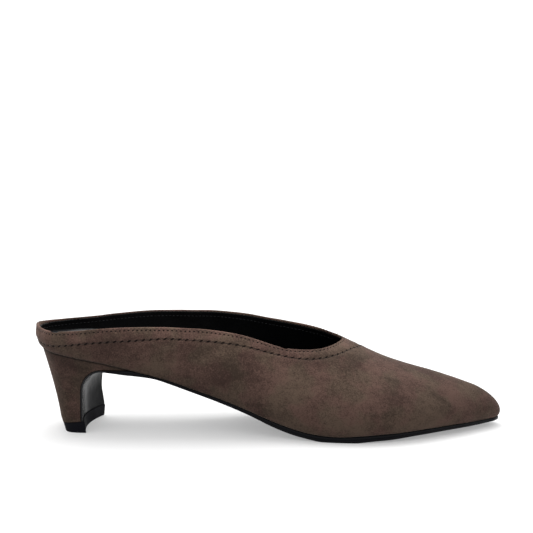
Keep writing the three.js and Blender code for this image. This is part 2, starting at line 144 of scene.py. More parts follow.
# A column of a table read at a distance from the back, smoothly from row to row.
def along_shoe(table, name, x):
    at = min(max(x / SHOE_LENGTH, table[0]["at"]), table[-1]["at"])
    i = 0
    while i < len(table) - 2 and table[i + 1]["at"] < at:
        i += 1

    def slope(k):
        before = table[max(k - 1, 0)]
        after = table[min(k + 1, len(table) - 1)]
        return (after[name] - before[name]) / (after["at"] - before["at"])

    span = table[i + 1]["at"] - table[i]["at"]
    f = (at - table[i]["at"]) / span
    start = (1 + 2 * f) * (1 - f) ** 2 * table[i][name] + f * (1 - f) ** 2 * span * slope(i)
    end = f * f * (3 - 2 * f) * table[i + 1][name] - f * f * (1 - f) * span * slope(i + 1)
    return start + end


def feather_height(x):
    return HEEL_HEIGHT * along_shoe(BOTTOM, "feather", x)


def tread_height(x):
    return HEEL_HEIGHT * max(along_shoe(BOTTOM, "tread", x), 0)


def crest_at(place):
    section = section_at(place)
    return feather_height(section["spine"] * SHOE_LENGTH) + section["crest"] * INSTEP_HEIGHT


toe_run = (SECTIONS[TOE_FAN]["spine"] - SECTIONS[TOE_FAN - 1]["spine"]) * SHOE_LENGTH
TOE_SLOPE = (crest_at(TOE_FAN) - crest_at(TOE_FAN - 1)) / toe_run


# One side of one section of the last: a curve from the feather edge up to the crest, in the upright
# plane that stands on the line from the section's foot on the spine to its feather point.
class Profile:
    def __init__(self, place, side):
        section = section_at(place)
        letter = "L" if side == "lateral" else "M"
        width = -section["lateral"] if side == "lateral" else section["medial"]
        self.foot = Vector((section["spine"] * SHOE_LENGTH, section["shift"] * BALL_WIDTH))
        feather = Vector((section["edge"] * SHOE_LENGTH, width * BALL_WIDTH))
        out = feather - self.foot
        self.reach = out.length
        self.out = out.normalized()
        base = feather_height(feather.x)
        top = feather_height(self.foot.x) + section["crest"] * INSTEP_HEIGHT
        full = section["full" + letter] * self.reach
        fall = TOE_SLOPE * full * max(self.out.x, 0) if self.foot.x > SHOE_LENGTH / 2 else 0
        swing = section["swing" + letter] * BALL_WIDTH
        self.bends = (
            Vector((self.reach, base)),
            Vector((self.reach + swing, base + section["rise"] * INSTEP_HEIGHT)),
            Vector((full, top + fall)),
            Vector((0, top)),
        )

    def at(self, t, inset=0.0):
        a, b, c, d = self.bends
        p = a * (1 - t) ** 3 + b * (3 * t * (1 - t) ** 2) + c * (3 * t * t * (1 - t)) + d * t ** 3
        along = (b - a) * (1 - t) ** 2 + (c - b) * (2 * t * (1 - t)) + (d - c) * t * t
        along = along.normalized() if t < 1 else Vector((-1, 0))
        reach = p.x - along.y * inset
        height = p.y + along.x * inset
        return Vector((self.foot.x + self.out.x * reach, self.foot.y + self.out.y * reach, height))

    def plan(self, reach, height):
        x = self.foot.x + self.out.x * reach
        return Vector((x, self.foot.y + self.out.y * reach, height(x)))

    # How far up the curve it meets a height, which is a function of x.
    def share_at(self, height, inset=0.0):
        crest = self.at(1, inset)
        if crest.z <= height(crest.x) + MERGE:
            return 1.0
        low, high = 0.0, 1.0
        for _ in range(HALVINGS):
            t = (low + high) / 2
            p = self.at(t, inset)
            if p.z < height(p.x):
                low = t
            else:
                high = t
        return high


def line_height(line, side, below=0.0):
    return lambda x: feather_height(x) + INSTEP_HEIGHT * along_shoe(line, side, x) - below


# The stations along the shoe: a few to each row of the table, and closer where a line turns in to the
# crest, because it sweeps up fast there.
STATIONS_PER_ROW = 8
TURN_STEPS = 26
TURN_RUN = 1.2
SIDES = ("lateral", "medial")


def crossing_place(line, below):
    low, high = 0.0, float(LAST_PLACE)
    for _ in range(HALVINGS):
        place = (low + high) / 2
        x = section_at(place)["spine"] * SHOE_LENGTH
        if crest_at(place) > line_height(line, "lateral", below)(x) or place < 1:
            low = place
        else:
            high = place
    return high


def stations(line, below):
    turn = crossing_place(line, below)
    even = [i / STATIONS_PER_ROW for i in range(LAST_PLACE * STATIONS_PER_ROW + 1)]
    close = [turn - TURN_RUN * (i / TURN_STEPS) ** 2 for i in range(TURN_STEPS, -1, -1)]
    past = [turn + TURN_RUN * i / TURN_STEPS for i in range(1, TURN_STEPS + 1)]
    gap = 0.5 / STATIONS_PER_ROW
    before = [place for place in even if place < close[0] - gap]
    after = [place for place in even if place > past[-1] + gap]
    return before + close + past + after


# A grid whose points are placed by a function of the column's number and the share of the way up.
def sheet(bm, columns, rows, point, turned=False):
    made = bmesh.ops.create_grid(bm, x_segments=columns, y_segments=rows, size=0.5)
    for v in made["verts"]:
        v.co = point(round((v.co.x + 0.5) * columns), v.co.y + 0.5)
    if turned:
        faces = list({f for v in made["verts"] for f in v.link_faces})
        bmesh.ops.reverse_faces(bm, faces=faces)
    return made["verts"]


# Both sides of the wall at one depth. The rows lie closer near the topline, where the stitches are, and
# low on the wall they keep their places whether that line is near or far.
OUTER_STEPS = 84
INNER_STEPS = 40
ROWS_CROWD = 1.5
LOW_HOLD = 4


def wall_sheets(bm, line, below, inset, steps, inward=False):
    places = stations(line, below)
    verts = []
    for side in SIDES:
        profiles = [Profile(place, side) for place in places]
        tops = [p.share_at(line_height(line, side, below)) for p in profiles]

        def point(i, s):
            share = 1 - (1 - s) ** ROWS_CROWD
            climb = share * (tops[i] + (1 - tops[i]) * (1 - share) ** LOW_HOLD)
            return profiles[i].at(climb, inset)

        verts += sheet(bm, len(places) - 1, steps, point, turned=(side == "medial") != inward)
    return verts


# The open edges of a sheet: those well above the feather are its rim, and the others its foot.
RIM_LEAST = 0.005


def open_loops(bm, verts):
    edges = {e for v in verts if v.is_valid for e in v.link_edges if e.is_boundary}
    rim = [e for e in edges if all(v.co.z > feather_height(v.co.x) + RIM_LEAST for v in e.verts)]
    feather = [e for e in edges if e not in set(rim)]
    return rim, feather


# A rolled edge along an open loop: it turns round on the sheet's own normal, in steps.
def roll_edge(bm, edges, radius, steps):
    bm.normal_update()
    ring = list(edges)
    known = set(ring)
    frames = {}
    for v in {v for e in ring for v in e.verts}:
        a, b = [e.other_vert(v) for e in v.link_edges if e in known]
        along = (b.co - a.co).normalized()
        normal = (v.normal - along * v.normal.dot(along)).normalized()
        out = along.cross(normal)
        middle = sum((f.calc_center_median() for f in v.link_faces), Vector()) / len(v.link_faces)
        if out.dot(v.co - middle) < 0:
            out.negate()
        frames[v] = (v.co - normal * radius, normal * radius, out * radius)
    for step in range(1, steps):
        made = bmesh.ops.extrude_edge_only(bm, edges=ring)["geom"]
        new = {g for g in made if isinstance(g, bmesh.types.BMVert)}
        ring = [g for g in made if isinstance(g, bmesh.types.BMEdge) and set(g.verts) <= new]
        turn = math.pi * step / steps
        before = frames
        frames = {}
        for v in new:
            frames[v] = next(before[e.other_vert(v)] for e in v.link_edges if e.other_vert(v) in before)
            heart, normal, out = frames[v]
            v.co = heart + normal * math.cos(turn) + out * math.sin(turn)
    return ring


# A closed wall between two depths, its upper edge rolled and its lower edge closed off. Its outer face
# can be shaped by a relief, which says how far each point stands off.
def wall_shell(bm, line, below, outer, inner, roll_steps, relief=None):
    radius = (inner - outer) / 2
    out_verts = wall_sheets(bm, line, below + radius, outer, OUTER_STEPS)
    in_verts = wall_sheets(bm, line, below + radius, inner, INNER_STEPS, inward=True)
    bmesh.ops.remove_doubles(bm, verts=bm.verts, dist=MERGE)
    if relief:
        bm.normal_update()
        moves = [(v, v.normal * relief(v.co)) for v in out_verts if v.is_valid]
        for v, move in moves:
            v.co += move
    out_rim, out_feather = open_loops(bm, out_verts)
    in_rim, in_feather = open_loops(bm, in_verts)
    rolled = roll_edge(bm, out_rim, radius, roll_steps)
    bmesh.ops.bridge_loops(bm, edges=rolled + in_rim)
    bmesh.ops.bridge_loops(bm, edges=out_feather + in_feather)
    bmesh.ops.recalc_face_normals(bm, faces=bm.faces)


# A line drawn on the wall, in one or more runs of points, with each point's share of its run's length.
class Line:
    def __init__(self):
        self.points = []
        self.shares = []
        self.runs = []

    def add(self, points):
        self.runs.append((len(self.points), len(self.points) + len(points)))
        lengths = [0.0]
        for a, b in zip(points, points[1:]):
            lengths.append(lengths[-1] + (b - a).length)
        self.points += points
        self.shares += [length / lengths[-1] for length in lengths]
        self.length = lengths[-1]
        self.tree = KDTree(len(self.points))
        for i, point in enumerate(self.points):
            self.tree.insert(point, i)
        self.tree.balance()
        return self

    # How far a point is from the line, at what share of its run, and in which run.
    def near(self, p):
        _, i, gap = self.tree.find(p)
        run = next(n for n, (start, end) in enumerate(self.runs) if start <= i < end)
        start, end = self.runs[run]
        best = (gap, self.shares[i], run, self.points[i], Vector((1, 0, 0)))
        for k in range(max(i - 1, start), min(i + 1, end - 1)):
            a, b = self.points[k], self.points[k + 1]
            f = min(max((p - a).dot(b - a) / (b - a).length_squared, 0), 1)
            heart = a.lerp(b, f)
            gap = (heart - p).length
            if gap <= best[0] + MERGE:
                share = self.shares[k] + (self.shares[k + 1] - self.shares[k]) * f
                best = (gap, share, run, heart, b - a)
        return best

    # The distance again, but negative below the line.
    def height_over(self, v):
        gap, _, run, heart, along = self.near(v.co)
        up = v.normal.cross(along) * (1 if run == 0 else -1)
        return gap if up.dot(v.co - heart) > 0 else -gap


# A line at a height above the feather, on both sides, each run from the back seam to the crest.
def line_on_wall(line, below, inset=0.0):
    drawn = Line()
    places = stations(line, below)
    for side in SIDES:
        profiles = [Profile(place, side) for place in places]
        shares = [p.share_at(line_height(line, side, below)) for p in profiles]
        until = next(i for i, share in enumerate(shares) if share >= 1) + 1
        drawn.add([p.at(share, inset) for p, share in zip(profiles[:until], shares)])
    return drawn


# The folded edge stands this much over the topline's cut.
FOLD_RISE = 0.0005
BACK_STEPS = 40
top_line = line_on_wall(TOPLINE, -FOLD_RISE)
bold_line = line_on_wall(BOLD_ROW, 0)
back_profile = Profile(0, "lateral")
back_top = back_profile.share_at(line_height(TOPLINE, "lateral"))
back_line = Line().add([back_profile.at(back_top * i / BACK_STEPS) for i in range(BACK_STEPS + 1)])


def hump(gap, middle, width):
    return math.exp(-(((gap - middle) / width) ** 2))


# How the suede stands off the last: drawn in along the stitches and the back seam, fuller between
# them, and never quite even. Each ridge has a line, a height, a distance from the line and a half width.
RIDGES = (
    (bold_line, 0.00012, 0.0026, 0.0014), (bold_line, -0.00022, 0, 0.001),
    (top_line, 0.00008, 0.0004, 0.0008), (top_line, -0.0001, 0.0017, 0.0007),
    (back_line, 0.00015, 0.002, 0.0013), (back_line, -0.00012, 0, 0.0006),
)
BACK_RIM_RISE = 0.0012
BACK_RIM_DEPTH = 0.0035
BACK_RIM_RUN = 0.009
SUEDE_STANDS_OFF = 0.0001
# The wide and the narrow waves of the suede: how high each is, and how many go to the metre.
WAVES = ((0.00012, 70), (0.00006, 190))


def relief(p):
    gaps = {line: line.near(p)[0] for line in (top_line, bold_line, back_line)}
    rise = sum(height * hump(gaps[line], middle, width) for line, height, middle, width in RIDGES)
    rise += BACK_RIM_RISE * hump(gaps[top_line], 0, BACK_RIM_DEPTH) * hump(gaps[back_line], 0, BACK_RIM_RUN)
    return rise + SUEDE_STANDS_OFF + sum(height * noise.noise(p * rate) for height, rate in WAVES)


# A value kept on each point of a piece, for its material to read.
def note(bm, name, value):
    layer = bm.verts.layers.float.new(name)
    for v in bm.verts:
        v[layer] = value(v)


# A finished piece in its place on the part, with its material and its slot.
def piece_from(name, bm, material, sharp=None):
    bmesh.ops.translate(bm, vec=to_frame, verts=bm.verts)
    mesh = bpy.data.meshes.new(name)
    bm.to_mesh(mesh)
    bm.free()
    mesh.polygons.foreach_set("use_smooth", [True] * len(mesh.polygons))
    mesh.materials.append(material)
    if sharp:
        mesh.set_sharp_from_angle(angle=math.radians(sharp))
    piece = bpy.data.objects.new(name, mesh)
    bpy.context.scene.collection.objects.link(piece)
    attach(piece, "root")
    return piece


# The stitches of each row: as many on either side, so that the rows meet at the seam and the crest.
BOLD_PITCH = 0.0036
FINE_PITCH = 0.0021
FINE_BELOW = 0.0016
bold_count = round(bold_line.length / BOLD_PITCH)
fine_count = round(top_line.length / FINE_PITCH)

bm = bmesh.new()
wall_sheets(bm, TOPLINE, 0, 0, INNER_STEPS)
last_low = Vector([min(v.co[k] for v in bm.verts) for k in range(3)])
last_high = Vector([max(v.co[k] for v in bm.verts) for k in range(3)])
node_low, node_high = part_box("upper")
to_frame = (node_low + node_high - last_low - last_high) / 2
to_frame.z = 0
bm.free()

FOLD_STEPS = 5
bm = bmesh.new()
wall_shell(bm, TOPLINE, -FOLD_RISE, 0, SUEDE_THICKNESS, FOLD_STEPS, relief)
bm.normal_update()
note(bm, "bold_gap", bold_line.height_over)
note(bm, "bold_run", lambda v: bold_line.near(v.co)[1] * bold_count)
note(bm, "fine_gap", lambda v: top_line.near(v.co)[0] - FINE_BELOW)
note(bm, "fine_run", lambda v: top_line.near(v.co)[1] * fine_count)
note(bm, "seam_gap", lambda v: back_line.near(v.co)[0])
note(bm, "feather_gap", lambda v: max(v.co.z - feather_height(v.co.x), 0))


# A material and its nodes: short ways to add a node and to join it to the ones before.
class Finish:
    def __init__(self, name):
        self.material = bpy.data.materials.new(name)
        self.material.use_nodes = True
        self.tree = self.material.node_tree
        self.shader = self.tree.nodes["Principled BSDF"]

    def set(self, **values):
        for name, value in values.items():
            self.shader.inputs[name.replace("_", " ")].default_value = value

    def join(self, source, socket):
        if isinstance(source, (int, float, tuple)):
            socket.default_value = source
        else:
            self.tree.links.new(source, socket)

    # Fills a node's inputs, by their names or numbers, and gives its outputs.
    def fill(self, made, sources):
        for name, source in sources.items():
            self.join(source, made.inputs[name])
        return made.outputs

    def math(self, operation, *inputs):
        made = self.tree.nodes.new("ShaderNodeMath")
        made.operation = operation
        return self.fill(made, dict(enumerate(inputs)))[0]

    def where(self, scale=(1, 1, 1), turn=(0, 0, 0)):
        coordinates = self.tree.nodes.new("ShaderNodeTexCoord").outputs["Object"]
        mapping = self.tree.nodes.new("ShaderNodeMapping")
        return self.fill(mapping, {"Vector": coordinates, "Scale": scale, "Rotation": turn})[0]

    def noise(self, where, scale, detail=2.0, rough=0.5, bend=0.0):
        made = self.tree.nodes.new("ShaderNodeTexNoise")
        shape = {"Scale": scale, "Detail": detail, "Roughness": rough, "Distortion": bend}
        return self.fill(made, {"Vector": where, **shape})["Fac"]

    def attribute(self, name):
        made = self.tree.nodes.new("ShaderNodeAttribute")
        made.attribute_name = name
        return made.outputs["Fac"]

    def range(self, value, low, high, to_low=0.0, to_high=1.0):
        made = self.tree.nodes.new("ShaderNodeMapRange")
        made.interpolation_type = "SMOOTHSTEP"
        ends = {"From Min": low, "From Max": high, "To Min": to_low, "To Max": to_high}
        return self.fill(made, {"Value": value, **ends})[0]

    def mix(self, share, first, second, blend="MIX"):
        made = self.tree.nodes.new("ShaderNodeMix")
        made.data_type = "RGBA"
        made.blend_type = blend
        return self.fill(made, {0: share, 6: first, 7: second})[2]

    def scaled(self, colour, factor):
        made = self.tree.nodes.new("ShaderNodeVectorMath")
        made.operation = "SCALE"
        return self.fill(made, {0: colour, "Scale": factor})[0]

    def colour(self, source):
        self.tree.links.new(source, self.shader.inputs["Base Color"])

    def roughness(self, source):
        self.tree.links.new(source, self.shader.inputs["Roughness"])

    # Relief that only the shading shows: layers of a height and the distance that it stands for.
    def bump(self, *layers):
        under = {}
        for height, distance in layers:
            made = self.tree.nodes.new("ShaderNodeBump")
            sources = {"Strength": 1.0, "Distance": distance, "Height": height}
            under = {"Normal": self.fill(made, {**sources, **under})[0]}
        self.fill(self.shader, under)


SUEDE_DARK = (0.0197, 0.0125, 0.0101, 1)
SUEDE_LIGHT = (0.0525, 0.034, 0.027, 1)
SUEDE_RED = (1.05, 0.96, 0.97, 1)
SUEDE_GREEN = (0.97, 1.02, 0.95, 1)
HOLE_SHADE_AND_SEAM_DARK = (0.003, 0.0016, 0.0014, 1)
SEAM_SHOWS = 0.6
SHADE_HEIGHT = 0.0012
UNDER_SHADE_HEIGHT = 0.012
RIM_HIGHLIGHT = (0.001, 0.008)
FOLD_HIGHLIGHT = (-FINE_BELOW, -0.4 * FINE_BELOW)
JOINT_SHADE_HEIGHT = 0.0007
SHADING_UP_WALL = 0.03
SEAM_WIDTH = (0.0006, 0.0001)
HOLE_EDGE = (1.3, 0.5)
# Each sewn row's name, its pitch, half a hole's height and length, and how the holes lean.
ROWS = (("bold", BOLD_PITCH, 0.00065, 0.00085, 260.0), ("fine", FINE_PITCH, 0.00034, 0.0005, 0.0))


def lit(colour, lightness):
    return tuple(lightness * part for part in colour[:3]) + (1,)


# Suede has a short nap that was brushed this way and that, so it shows lighter and darker smudges.
def suede_finish(name, stitched, lightness):
    suede = Finish(name)
    plain = suede.where()
    brushed = suede.where(scale=(0.5, 1.0, 1.1), turn=(0.0, 0.45, 0.3))
    patches = suede.noise(plain, scale=32, detail=2, rough=0.5, bend=0.5)
    strokes = suede.noise(brushed, scale=85, detail=3, rough=0.55, bend=0.9)
    tufts = suede.noise(plain, scale=420, detail=3, rough=0.6)
    grain = suede.noise(plain, scale=1500, detail=2, rough=0.7)
    tone = suede.math("MULTIPLY", patches, 0.46)
    for layer, share in ((strokes, 0.32), (tufts, 0.2), (grain, 0.55)):
        tone = suede.math("MULTIPLY_ADD", layer, share, tone)
    dark, light = lit(SUEDE_DARK, lightness), lit(SUEDE_LIGHT, lightness)
    colour = suede.mix(suede.range(tone, low=0.615, high=0.915), dark, light)
    clouds = suede.noise(plain, scale=75, detail=2)
    tint = suede.mix(suede.range(clouds, low=0.4, high=0.6), SUEDE_RED, SUEDE_GREEN)
    colour = suede.mix(1.0, colour, tint, "MULTIPLY")
    if not stitched:
        # Painted shade under the upper: a dark line just below the seat, and the heel a little darker for
        # some way down.
        shade = suede.range(suede.attribute("seat_gap"), 0.0, SHADE_HEIGHT, to_low=0.25)
        under = suede.range(suede.attribute("seat_gap"), 0.0, UNDER_SHADE_HEIGHT, to_low=0.7)
        colour = suede.scaled(colour, suede.math("MULTIPLY", shade, under))
    heights = [(grain, 0.0002), (tufts, 0.00018)]
    if stitched:
        gap = suede.attribute("fine_gap")
        # Painted highlight: the suede is lighter in a band below the topline, as if catching the light.
        rim_highlight = suede.range(gap, *RIM_HIGHLIGHT, to_low=1.3)
        # Painted highlight: the folded edge itself is lighter still.
        fold_highlight = suede.range(gap, *FOLD_HIGHLIGHT, to_low=1.5)
        colour = suede.scaled(colour, suede.math("MULTIPLY", rim_highlight, fold_highlight))
        # Painted shade: a dark line at the foot of the wall, where the upper overhangs the heel.
        edge = suede.range(suede.attribute("feather_gap"), 0.0, JOINT_SHADE_HEIGHT, to_low=0.25)
        # Painted light and shade: the wall is darker low down and lighter towards the top, as the light
        # falls from above.
        low = suede.range(suede.attribute("feather_gap"), 0.0, SHADING_UP_WALL, to_low=0.69, to_high=1.21)
        colour = suede.scaled(colour, suede.math("MULTIPLY", edge, low))
        # The stitch holes are painted dark, as shade inside them; the back seam below is a dark joint line.
        holes = 0.0
        for row, pitch, high, long, lean in ROWS:
            above, along = suede.attribute(row + "_gap"), suede.attribute(row + "_run")
            over = suede.math("DIVIDE", above, high)
            leant = suede.math("MULTIPLY_ADD", above, -lean, along)
            beside = suede.math("MULTIPLY", suede.math("PINGPONG", leant, 0.5), pitch / long)
            squares = suede.math("ADD", suede.math("POWER", over, 2.0), suede.math("POWER", beside, 2.0))
            hole = suede.range(suede.math("SQRT", squares), *HOLE_EDGE)
            holes = suede.math("MAXIMUM", hole, holes)
        colour = suede.mix(holes, colour, HOLE_SHADE_AND_SEAM_DARK)
        seam = suede.range(suede.attribute("seam_gap"), *SEAM_WIDTH)
        colour = suede.mix(suede.math("MULTIPLY", seam, SEAM_SHOWS), colour, HOLE_SHADE_AND_SEAM_DARK)
        heights.append((suede.math("SUBTRACT", 1.0, suede.math("MAXIMUM", holes, seam)), 0.0004))
    suede.colour(colour)
    suede.set(Roughness=0.95, Specular_IOR_Level=0.1, Sheen_Weight=0.16, Sheen_Roughness=0.35)
    suede.set(Sheen_Tint=(0.8, 0.62, 0.52, 1))
    suede.bump(*heights)
    return suede.material


upper_suede = suede_finish("suede", stitched=True, lightness=1.64)
upper = piece_from("upper_suede", bm, upper_suede)
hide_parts("upper")

# Stitches
# Two rows of sewing go through suede and lining: a fine one just under the folded edge, and a bold one
# lower down. Each stitch is a short length of thread, bowed out between the two holes it dips into.

THREAD_SIDES = 6
THREAD_RINGS = 6


# One stitch: a closed spindle between two holes, thinner to its ends and bowed out in the middle.
def thread(bm, start, end, outward, radius, rise):
    along = (end - start).normalized()
    across = along.cross(outward).normalized()
    outward = across.cross(along)

    def point(i, s):
        f = i / THREAD_RINGS
        swell = max(math.sin(math.pi * f), 0)
        turn = 2 * math.pi * s
        around = across * math.cos(turn) + outward * math.sin(turn)
        return start.lerp(end, f) + outward * rise * swell + around * radius * math.sqrt(swell)

    sheet(bm, THREAD_RINGS, THREAD_SIDES, point)


# The surface of a piece, on which a point can be laid.
class Skin:
    def __init__(self, piece):
        self.points = [v.co - to_frame for v in piece.data.vertices]
        self.normals = [v.normal.copy() for v in piece.data.vertices]
        self.tree = KDTree(len(self.points))
        for i, p in enumerate(self.points):
            self.tree.insert(p, i)
        self.tree.balance()

    def onto(self, p):
        _, i, _ = self.tree.find(p)
        normal = self.normals[i]
        return p - normal * (p - self.points[i]).dot(normal), normal


def point_along(line, run, share):
    start, end = line.runs[run]
    i = start
    while i < end - 2 and line.shares[i + 1] < share:
        i += 1
    f = (share - line.shares[i]) / (line.shares[i + 1] - line.shares[i])
    return line.points[i].lerp(line.points[i + 1], min(max(f, 0), 1))


# A row of stitches along a line: how long each is for its pitch, how it leans, and how far below it runs.
def sew(bm, line, count, skin, radius, rise, length, lean, below):
    for run in range(len(line.runs)):
        for k in range(count):
            a, b = [point_along(line, run, (k + 0.5 + half * length) / count) for half in (-0.5, 0.5)]
            heart, outward = skin.onto((a + b) / 2)
            up = outward.cross(b - a).normalized() * (1 if run == 0 else -1)
            start = skin.onto(a - up * (below + lean))[0]
            end = skin.onto(b - up * (below - lean))[0]
            thread(bm, start, end, outward, radius, rise)
    bmesh.ops.remove_doubles(bm, verts=bm.verts, dist=MERGE)
    bmesh.ops.recalc_face_normals(bm, faces=bm.faces)


def thread_finish(name, dark, light, roughness):
    cotton = Finish(name)
    where = cotton.where()
    cotton.colour(cotton.mix(cotton.noise(where, scale=900, detail=2), dark, light))
    cotton.set(Roughness=roughness, Specular_IOR_Level=0.2)
    cotton.bump((cotton.noise(where, scale=4000, detail=1), 0.00005))
    return cotton.material


BROWN_DARK = (0.018, 0.012, 0.0095, 1)
BROWN_LIGHT = (0.045, 0.03, 0.023, 1)
outside = Skin(upper)
bm = bmesh.new()
sew(bm, bold_line, bold_count, outside, radius=0.00024, rise=0.00002, length=0.66, lean=0.0003, below=0)
brown_thread = thread_finish("brown_thread", BROWN_DARK, BROWN_LIGHT, roughness=0.75)
piece_from("bold_stitches", bm, brown_thread)
bm = bmesh.new()
sew(bm, top_line, fine_count, outside, radius=0.00013, rise=0, length=0.5, lean=0.00006, below=FINE_BELOW)
piece_from("fine_stitches", bm, brown_thread)

# Lining
# Black smooth leather, glued to the inside of the suede and trimmed just under the folded edge, and
# held there by the fine row's stitches.

LINING_BELOW = 0.0001
LINING_ROW_BELOW = 0.0028
LINING_EDGE_STEPS = 3
LINING_BLACK = (0.0012, 0.0012, 0.0015, 1)
BLACK_DARK = (0.01, 0.01, 0.011, 1)
BLACK_LIGHT = (0.03, 0.03, 0.033, 1)

bm = bmesh.new()
wall_shell(bm, TOPLINE, LINING_BELOW, SUEDE_THICKNESS, WALL, LINING_EDGE_STEPS)


def black_leather(name, colour, matt, gloss, specular):
    leather = Finish(name)
    where = leather.where()
    leather.colour(leather.mix(leather.noise(where, scale=70, detail=3), lit(colour, 0.6), colour))
    leather.set(Specular_IOR_Level=specular)
    handled = leather.noise(where, scale=45, detail=4)
    leather.roughness(leather.range(handled, low=0.35, high=0.65, to_low=gloss, to_high=matt))
    grain = leather.noise(where, scale=1300, detail=3, rough=0.6)
    folds = leather.noise(where, scale=110, detail=2)
    leather.bump((grain, 0.00005), (folds, 0.0005))
    return leather


lining_leather = black_leather("lining_leather", LINING_BLACK, matt=0.6, gloss=0.45, specular=0.1)
lining = piece_from("lining", bm, lining_leather.material)
bm = bmesh.new()
inner_line = line_on_wall(TOPLINE, LINING_ROW_BELOW, WALL)
inside = Skin(lining)
sew(bm, inner_line, fine_count, inside, radius=0.00017, rise=0.0001, length=0.75, lean=0.00004, below=0)
black_thread = thread_finish("black_thread", BLACK_DARK, BLACK_LIGHT, roughness=0.5)
piece_from("lining_stitches", bm, black_thread)

# Sock
# The padded black leather sock that lies on the insole board and meets the lining all round. The foot's
# bed is a little hollow along its middle, with a pad at the heel; its gloss is kept low at the heel end as
# painted shade and rises from there on.

SOCK_HIGH = 0.0063
SOCK_LOW = 0.0023
SOCK_HOLLOW = 0.0009
HEEL_PAD = 0.0036
HEEL_PAD_AT = 0.032
HEEL_PAD_RUN = 0.016
HEEL_PAD_EDGE = 3
SHADE_GLOSS_FROM = 0.013
SHADE_GLOSS_RUN = 0.012
SOCK_BLACK = (0.006, 0.006, 0.0068, 1)
SOCK_SHARP = 50
ACROSS_STEPS = 24
even_places = [i / STATIONS_PER_ROW for i in range(LAST_PLACE * STATIONS_PER_ROW + 1)]


# A layer across the shoe, from the edge on either side to the spine.
def spread(bm, places, edge, height, turned):
    for side in SIDES:
        profiles = [Profile(place, side) for place in places]
        edges = [edge(p) for p in profiles]

        def point(i, s):
            return profiles[i].plan(edges[i] * (1 - s), lambda x: height(x, s))

        sheet(bm, len(places) - 1, ACROSS_STEPS, point, turned=(side == "medial") != turned)


# How far the lined room reaches at a height above the feather.
def lined_reach(above):
    def edge(p):
        t = p.share_at(lambda x: feather_height(x) + above, WALL)
        return (p.at(t, WALL).xy - p.foot).dot(p.out)

    return edge


def clamped(value, low, high):
    return min(max(value, low), high)


def sock_top(x, s):
    pad = HEEL_PAD * hump(x, HEEL_PAD_AT, HEEL_PAD_RUN)
    inward = math.sin(math.pi / 2 * min(HEEL_PAD_EDGE * s, 1))
    return feather_height(x) + SOCK_HIGH + pad * inward - SOCK_HOLLOW * s * s


bm = bmesh.new()
spread(bm, even_places, lined_reach(SOCK_HIGH), sock_top, False)
spread(bm, even_places, lined_reach(SOCK_LOW), lambda x, s: feather_height(x) + SOCK_LOW, True)
bmesh.ops.remove_doubles(bm, verts=bm.verts, dist=MERGE)
bmesh.ops.bridge_loops(bm, edges=[e for e in bm.edges if e.is_boundary])
bmesh.ops.recalc_face_normals(bm, faces=bm.faces)
# Painted shade: the sock's gloss is low at the heel end and rises forward.
note(bm, "gloss_out_of_shade", lambda v: clamped((v.co.x - SHADE_GLOSS_FROM) / SHADE_GLOSS_RUN, 0, 1))
sock_leather = black_leather("sock_leather", SOCK_BLACK, matt=0.42, gloss=0.28, specular=0.4)
gloss = sock_leather.range(sock_leather.attribute("gloss_out_of_shade"), 0, 1, to_low=0.1, to_high=0.85)
sock_leather.join(gloss, sock_leather.shader.inputs["Specular IOR Level"])
sock = piece_from("sock_pad", bm, sock_leather.material, SOCK_SHARP)
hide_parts("sock")

# Insole
# The fibre board under the sock. The sock hides it, so the solid itself stays, in the board's finish.

BOARD_DARK = (0.2, 0.13, 0.085, 1)
BOARD_LIGHT = (0.42, 0.3, 0.2, 1)
board = Finish("board")
where = board.where()
board.colour(board.mix(board.noise(where, scale=800, detail=3, rough=0.6), BOARD_DARK, BOARD_LIGHT))
board.set(Roughness=0.9)
board.bump((board.noise(where, scale=2500, detail=2, rough=0.6), 0.0001))
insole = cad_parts["insole"]
insole.data.materials.clear()
insole.data.materials.append(board.material)

# Heel
# A moulded block covered in the same suede, glued under the seat. Its back and sides sweep in towards a
# squarer base, and its breast is hollow, with the suede turned over its edge.

CLEARANCE = 0.0003
BREAST_AT = 0.0284
BREAST_RADIUS = 0.0125
BREAST_ROOF = 0.0355
BREAST_HOLLOW = 0.0034
BREAST_SKEW = 0.03
BREAST_SPREAD = 1.6
FOOT_FLARE = 0.0012
FOOT_FLARE_HEIGHT = 0.011
MEDIAL_FLARE = 0.0019
MEDIAL_FLARE_AT = 0.0085
MEDIAL_FLARE_RUN = 0.0065
HEEL_BASE_WIDTH = 0.035
HEEL_BASE_BACK = 0.0159
HEEL_TUCK = 0.0007
HEEL_TUCK_RUN = 0.05
SEAT_INSET = 0.0002
BACK_REACH = 0.0008
SEAT_FLARE = 1.45
BACK_FLARE = 1.42
BASE_SQUARENESS = 0.36
LIFT_HEIGHT = 0.006
LIFT_SLANT = 0.12
EDGE_SHARP = 40
WEDGE_PLACE = 6
SEAT_AXIS = SECTIONS[0]["shift"] * BALL_WIDTH
SEAT_BACK = SECTIONS[0]["edge"] * SHOE_LENGTH
WIDEST = {side: max(row[side] for row in SECTIONS[:WEDGE_PLACE]) for side in SIDES}


def mixed(a, b, share):
    return a + (b - a) * share


def lift_top(x):
    return LIFT_HEIGHT + (x - BREAST_AT) * LIFT_SLANT


